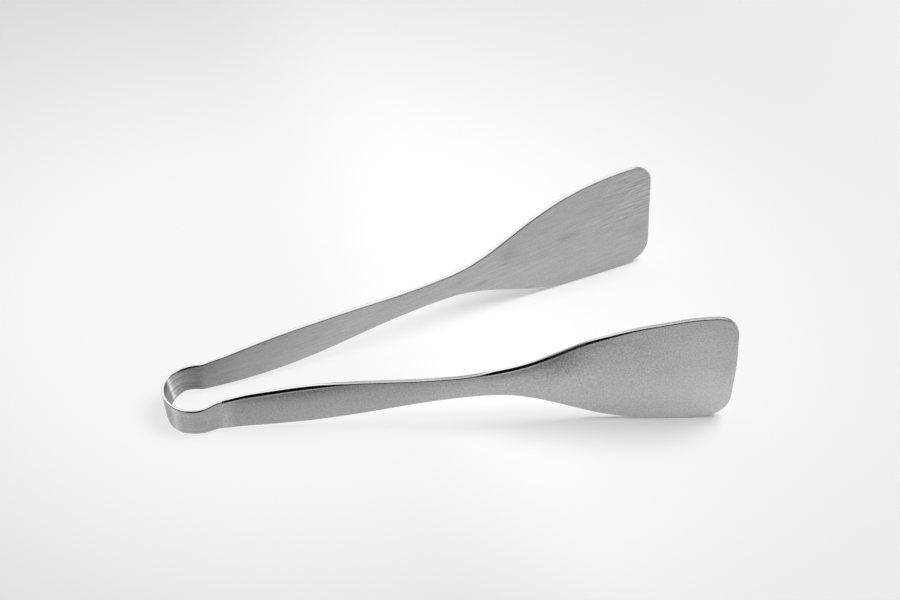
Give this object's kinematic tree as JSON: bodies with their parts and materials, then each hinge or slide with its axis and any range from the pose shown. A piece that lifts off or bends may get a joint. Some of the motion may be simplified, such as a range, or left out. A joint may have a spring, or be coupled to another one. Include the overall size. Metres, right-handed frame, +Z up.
{
  "type": "serving tongs",
  "caption": "Flat-bladed stainless serving tongs: a thin spring bow opens stamped arms that end in broad spatula blades.",
  "frame": {"origin": "on the surface the tongs lie on, under the middle of their box; they lie on edge, on the bow's lower edge and the lower edges of both blades", "axes": "+X from the bow towards the blades' tips, +Y across the opening from the front arm to the rear arm, +Z up"},
  "size_m": [0.236, 0.1064, 0.0562],
  "materials": {
    "arm_steel": "satin stainless, fine brushed along the arm, softly rounded edges",
    "bow_steel": "satin stainless spring strip, a little brighter than the arms",
    "ground_weld": "weld ground flush, with coarser grinding marks"
  },
  "bodies": {
    "bow": {"spring_bow": "bow_steel"},
    "front_arm": {"front_arm": "arm_steel", "front_weld": "ground_weld"},
    "rear_arm": {"rear_arm": "arm_steel", "rear_weld": "ground_weld"}
  },
  "joints": [
    {"name": "front_arm_flex", "type": "hinge", "parent": "bow", "child": "front_arm", "pos_m": [-0.1096, -0.0092, 0.00791], "axis": [-0.0984, 0, 0.9951], "range_deg": [0, 12.6], "stiffness_Nm_per_rad": 5.5, "deforming": ["spring_bow"]},
    {"name": "rear_arm_flex", "type": "hinge", "parent": "bow", "child": "rear_arm", "pos_m": [-0.1096, 0.0092, 0.00791], "axis": [-0.0984, 0, 0.9951], "range_deg": [-12.6, 0], "stiffness_Nm_per_rad": 5.5, "deforming": ["spring_bow"]}
  ],
  "couplings": [
    {"joint": "rear_arm_flex", "follows": "front_arm_flex", "ratio": -1}
  ]
}
